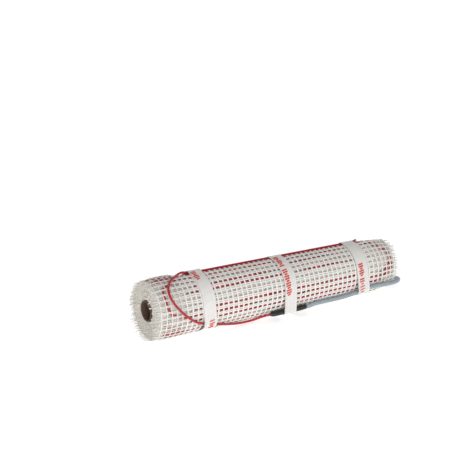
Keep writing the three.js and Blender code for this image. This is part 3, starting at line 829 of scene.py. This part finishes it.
def make_frayed_fibres():
    """Fine loose fibres at the cut edges of every turn."""
    along = np.linspace(0, 1, 6)
    width, thickness = (0.6 - 0.45 * along) * MM, (0.5 - 0.35 * along) * MM
    for sign, name in ((-1, "left"), (1, "right")):
        strands = Strands()
        for layer in range(DEEP_LAYERS + 3):
            for _ in range(12 if layer < 3 else 5):
                turn = FREE_EDGE_TURN - rng.uniform(0, 360)
                start = RIM_X - rng.uniform(0, 3) * MM
                xs = sign * (start + rng.uniform(7, 12) * MM * along)
                turns = turn + rng.uniform(-3, 3) * along
                bend = rng.uniform(-1.5, 0.8) * MM * along**1.5
                lift = MESH_LIFT - layer_depth(xs, turns, layer) + bend
                strands.add(roll_points(xs, turns, lift), outward(turns), width, thickness, 4)
        strands.make(f"mat_frayed_fibres_{name}", MESH_LOOK)


def make_inner_winding():
    """The turns under the shown layers, down to the core, as one plain body with a wavy outside.
    It lies under the threads of the second turn, and further down where cable lies there."""
    reach = 242 * MM
    under_threads, under_cable = 1.2 * MM, 4.0 * MM
    turns = FREE_EDGE_TURN - np.linspace(0, 360, 145)[:-1]
    xs = np.linspace(-reach, reach, 97)
    grid_turn, grid_x = np.meshgrid(turns, xs, indexing="ij")
    waves = 0.4 * MM * np.cos(grid_x / PITCH * 2 * math.pi) * np.cos(np.radians(grid_turn * 33))
    depth = layer_depth(grid_x, grid_turn, 1) + under_threads
    depth = depth + under_cable * near_cable(grid_x, grid_turn, 1)
    outer = roll_points(grid_x, grid_turn, waves - depth)
    inner = roll_points(grid_x, grid_turn, -(radius_at(grid_x) - CORE_RADIUS - 1 * MM))
    strands = Strands()
    strands.ring_sheet(outer, inner)
    strands.make("mat_inner_winding", MESH_DEEP_LOOK)


def make_packed_ends():
    """Past the cable's last loops the turns lie close. A disc at either end shows them as rings."""
    face_x, back_x = 244.5 * MM, 241.5 * MM
    face_drop, back_drop = 1.3 * MM, 3.2 * MM
    turns = FREE_EDGE_TURN - np.linspace(0, 360, 181)[:-1]
    grid_turn, share = np.meshgrid(turns, np.linspace(0, 1, 46), indexing="ij")
    rings = np.cos(share * 2 * math.pi * (DEEP_LAYERS + 3))
    fibres = np.sin(np.radians(grid_turn) * 61 + 4 * np.sin(share * 23))
    relief = 0.9 * MM * rings + 0.5 * MM * fibres
    for sign, name in ((-1, "left"), (1, "right")):
        sides = []
        for xs, drop in ((sign * (face_x + relief), face_drop), (sign * back_x, back_drop)):
            rim = layer_depth(xs, grid_turn, 0) + drop
            core = radius_at(xs) - CORE_RADIUS - 0.5 * MM
            sides.append(roll_points(xs, grid_turn, -(rim + (core - rim) * share)))
        strands = Strands()
        strands.ring_sheet(*sides[::sign])
        strands.make(f"mat_packed_end_{name}", MESH_DEEP_LOOK)


def make_core():
    """Cardboard tube with slightly rounded lips."""
    lip = 0.5 * MM
    profile = [
        (CORE_RADIUS, -CORE_HALF + lip), (CORE_RADIUS, CORE_HALF - lip),
        (CORE_RADIUS - lip, CORE_HALF), (CORE_BORE_RADIUS + lip, CORE_HALF),
        (CORE_BORE_RADIUS, CORE_HALF - lip), (CORE_BORE_RADIUS, -CORE_HALF + lip),
        (CORE_BORE_RADIUS + lip, -CORE_HALF), (CORE_RADIUS - lip, -CORE_HALF),
    ]
    sides = 96
    turns = np.arange(sides) * 360 / sides
    rings = [roll_points(x, turns, radius - radius_at(x)) for radius, x in profile]
    n = len(profile)
    faces, uvs = [], []
    for i in range(n):
        this, following = i * sides, (i + 1) % n * sides
        start_x, end_x = profile[i][1], profile[(i + 1) % n][1]
        for j in range(sides):
            k = (j + 1) % sides
            faces.append((this + j, this + k, following + k, following + j))
            u, v = j / sides, (j + 1) / sides
            uvs += [(u, start_x), (v, start_x), (v, end_x), (u, end_x)]
    mesh = bpy.data.meshes.new("core")
    mesh.from_pydata(np.concatenate(rings).tolist(), [], faces)
    mesh.uv_layers.new(name="UVMap").data.foreach_set("uv", np.array(uvs, np.float32).ravel())
    core = place(bpy.data.objects.new("core", mesh), CARD_LOOK)
    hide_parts("core_tube")


# Heating cable

def make_buried_cable():
    """Runs of cable under the two outer turns, with their loops near the mat's edges. The row
    beside the free edge doesn't sink with it, and the loops lie a little higher than the runs."""
    for layer, name in ((0, "heating_cable_runs"), (1, "heating_cable_runs_inner")):
        strands = Strands()
        for line in CABLE_LINES[layer]:
            xs, turn = line[:, 0], np.degrees(line[:, 1] / LEFT_RADIUS)
            spiral = np.where(turn > FREE_EDGE_TURN, turn - 360, turn)
            lift = BURIED_LIFT - layer_depth(xs, spiral, layer)
            at_edge = (layer == 0) & (np.abs(turn + 7.5) < 3)
            lift = np.where(at_edge, np.maximum(lift, EDGE_ROW_LIFT - shoulder_drop(xs)), lift)
            lift = lift + 0.5 * MM * rise(np.abs(xs), 186 * MM, 10 * MM)
            strands.add(roll_points(xs, turn, lift), outward(turn), CABLE, CABLE, 10)
        strands.make(name, RED_LOOK)


def make_tail():
    """The loose run of cable outside the roll, as in the solid model. Points are [x from a band,
    turn, lift] in mm and degrees."""
    top = TOP_LIFT / MM
    low = CABLE_LIFT / MM

    def behind_edge(turn):
        return low - float(step_depth(turn)) / MM

    dive = [(49, 74, -3.4), (48, 64, -2.2), (46, 54, 0.6)]
    near_right = [(44, 46), (37, 30), (27, 13), (15, 5)]
    near_right = [(x, turn, behind_edge(turn)) for x, turn in near_right]
    near_right += [(-2, TOP_TURN, top), (-30, TOP_TURN, top), (-70, TOP_TURN, top)]
    near_middle = [(40, TOP_TURN, top), (-13, TOP_TURN, top), (-63, TOP_TURN, top)]
    over_edge = [
        (52, TOP_TURN, top), (6, TOP_TURN, top), (-8, 2.4, -0.9), (-17, 1.7, 1), (-25, -1, 2.7),
        (-34, -5.5, low),
    ]
    loop = [
        (-45, -13), (-59, -24), (-69, -38), (-72, -51), (-69, -65), (-60, -80), (-47, -94),
        (-31, -107.5), (-15, -116), (1, LOW_TURN), (22, -129), (42, -137), (62, -144.5), (82, -149),
    ]
    loop = [(x, turn, low) for x, turn in loop]
    before_sleeve = [(-66, -147, low), (-54, -139, low + 0.3)]
    stretches = [
        ("right", dive + near_right), ("middle", near_middle), ("left", over_edge + loop),
        ("middle", before_sleeve),
    ]
    points = []
    for side, stretch in stretches:
        points += [roll_points(band_x[side] + x * MM, turn, lift * MM) for x, turn, lift in stretch]
    sleeve_start = SLEEVE_END_X - SLEEVE_LENGTH
    points += [roll_points(sleeve_start + x * MM, SLEEVE_TURN, SLEEVE_LIFT) for x in (-6, 4)]
    line = curve_through(points, 2.5 * MM)
    middle = np.column_stack([line[:, 0], np.full(len(line), ROLL_Y), radius_at(line[:, 0])])
    strands = Strands()
    strands.add(line, line - middle, CABLE, CABLE, 14)
    tail = strands.make("heating_cable_loose", RED_LOOK)
    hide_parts("heating_cable_tail")


def make_sleeve():
    """Shrink sleeve over the joint, with the lumps of the crimps inside."""
    start = roll_points(SLEEVE_END_X - SLEEVE_LENGTH, SLEEVE_TURN, SLEEVE_LIFT)
    end = roll_points(SLEEVE_END_X, SLEEVE_TURN, SLEEVE_LIFT)
    share = np.linspace(0, 1, 60)
    line = start + (end - start) * share[:, None]
    marks = [0, 0.02, 0.06, 0.12, 0.25, 0.4, 0.5, 0.6, 0.75, 0.9, 0.96, 1]
    radii = [2.5, 2.9, 4.2, 4.8, 5.0, 4.75, 4.9, 4.7, 5.0, 4.85, 4.5, 4.2]
    diameter = 2 * MM * np.interp(share, marks, radii)
    strands = Strands()
    strands.add(line, outward(SLEEVE_TURN), diameter, diameter, 28)
    sleeve = strands.make("joint_shrink_sleeve", SLEEVE_LOOK)
    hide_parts("joint_sleeve")


# Tape bands

def tight_line(points):
    """Tightest closed line round the points, anticlockwise."""
    points = sorted(map(tuple, points))

    def half(ordered):
        line = []
        for x, y in ordered:
            while len(line) > 1:
                (ax, ay), (bx, by) = line[-2], line[-1]
                if (bx - ax) * (y - by) - (by - ay) * (x - bx) > 0:
                    break
                line.pop()
            line.append((x, y))
        return line[:-1]

    return half(points) + half(points[::-1])


def band_outline(x, lumps, offset):
    """Turns and reaches of a tape pulled tight round the roll and the round things on it.
    lumps gives those as [turn, lift, radius]."""
    base = float(radius_at(x))
    turns = np.arange(TOP_TURN, 360 + FREE_EDGE_TURN, 1.5)
    reach = base - WAIST_DEPTH - step_depth(turns) + offset
    angle = np.radians(turns)
    points = list(np.column_stack([reach * np.sin(angle), reach * np.cos(angle)]))
    for turn, lift, radius in lumps:
        a = math.radians(turn)
        around = np.radians(np.arange(0, 360, 6))
        swollen = radius + offset
        points += list(np.column_stack([(base + lift) * math.sin(a) + swollen * np.cos(around),
                                        (base + lift) * math.cos(a) + swollen * np.sin(around)]))
    line = np.array(tight_line(points))
    line = evenly(np.vstack([line, line[:1]]), 0.5 * MM)
    found = np.degrees(np.arctan2(line[:, 0], line[:, 1]))
    order = np.argsort(found)
    turns = np.linspace(180, -180, 721)[:-1]
    reach = np.interp(turns, found[order], np.linalg.norm(line, axis=1)[order], period=360)
    return turns, reach


CABLE_ROUND, LEAD_ROUND, SLEEVE_ROUND = 2.1 * MM, 4.1 * MM, 5.1 * MM
BAND_LUMPS = {
    "left": [(TOP_TURN, TOP_LIFT, CABLE_ROUND), (2.4, 0.2 * MM, CABLE_ROUND)]
            + [(LOW_TURN + drift, CABLE_LIFT, CABLE_ROUND) for drift in (-5, 0, 5)],
    "middle": [(TOP_TURN, TOP_LIFT, CABLE_ROUND), (SLEEVE_TURN, SLEEVE_LIFT, SLEEVE_ROUND)],
    "right": [(TOP_TURN, TOP_LIFT, CABLE_ROUND), (TOP_TURN + 1.9, TOP_LIFT, CABLE_ROUND)]
             + [(LEAD_BAND_TURN + drift, LEAD_LIFT, LEAD_ROUND) for drift in (-3.5, 3.5)],
}


def make_band(side):
    """One tape, slightly creased and askew, with its edges a little raised."""
    x = band_x[side]
    across = np.linspace(-0.5, 0.5, 11)
    phase = rng.uniform(0, ANY_PHASE)
    sheets = []
    for offset in (BAND_THICKNESS, 0):
        turns, reach = band_outline(x, BAND_LUMPS[side], offset + BAND_GAP)
        turns = turns[:, None]
        angle = np.radians(turns)
        crease = np.sin(angle * 19 + across * 5 + phase) * np.sin(angle * 7 - across * 9)
        curl = 0.1 * MM * (2 * np.abs(across)) ** 4
        drift = 0.5 * MM * np.sin(angle * 2 + phase) + 0.3 * MM * np.sin(angle * 5)
        lift = reach[:, None] - radius_at(x) + 0.12 * MM * crease + curl
        sheets.append(roll_points(x + across * BAND_WIDTH + drift, turns, lift))
    strands = Strands()
    strands.ring_sheet(*sheets)
    band = strands.make(f"tape_{side}", TAPE_LOOK)
    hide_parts(f"band_{side}")


def make_marks(side, groups):
    """Plain slanting bars printed on a tape. groups gives [first turn, last turn, mm across]."""
    bar_width, bar_thickness = 2.7 * MM, 0.12 * MM
    bar_step_turn, slant = 4.6, 0.9
    x = band_x[side]
    turns, reach = band_outline(x, BAND_LUMPS[side], BAND_THICKNESS + BAND_GAP)
    order = np.argsort(turns)
    strands = Strands()
    for first, last, shift in groups:
        for k, turn in enumerate(np.arange(first, last, -bar_step_turn)):
            length = (10.0, 10.0, 6.0)[k % 3] * MM
            xs = x + shift * MM + np.linspace(-length / 2, length / 2, 7)
            bar_turns = turn + np.linspace(-slant, slant, 7)
            lift = np.interp(bar_turns, turns[order], reach[order]) - radius_at(x) + 0.3 * MM
            strands.add(roll_points(xs, bar_turns, lift), outward(bar_turns),
                        bar_width, bar_thickness, square=True)
    strands.make(f"tape_marks_{side}", MARK_LOOK)


make_camera()
make_studio()
lead, lead_line = make_lead()
core_ends = make_core_ends(lead_line)
tie = make_tie()
make_outer_mesh()
make_inner_mesh()
make_wound_ends()
make_frayed_fibres()
make_inner_winding()
make_packed_ends()
make_core()
make_buried_cable()
make_tail()
make_sleeve()
for band_side in band_x:
    make_band(band_side)
make_marks("left", [(-4, -30, -5), (-113, -131, 3)])
make_marks("middle", [(-8, -40, -4), (-46, -100, -4)])
make_marks("right", [(-66, -92, -3), (-97, -122, -3)])
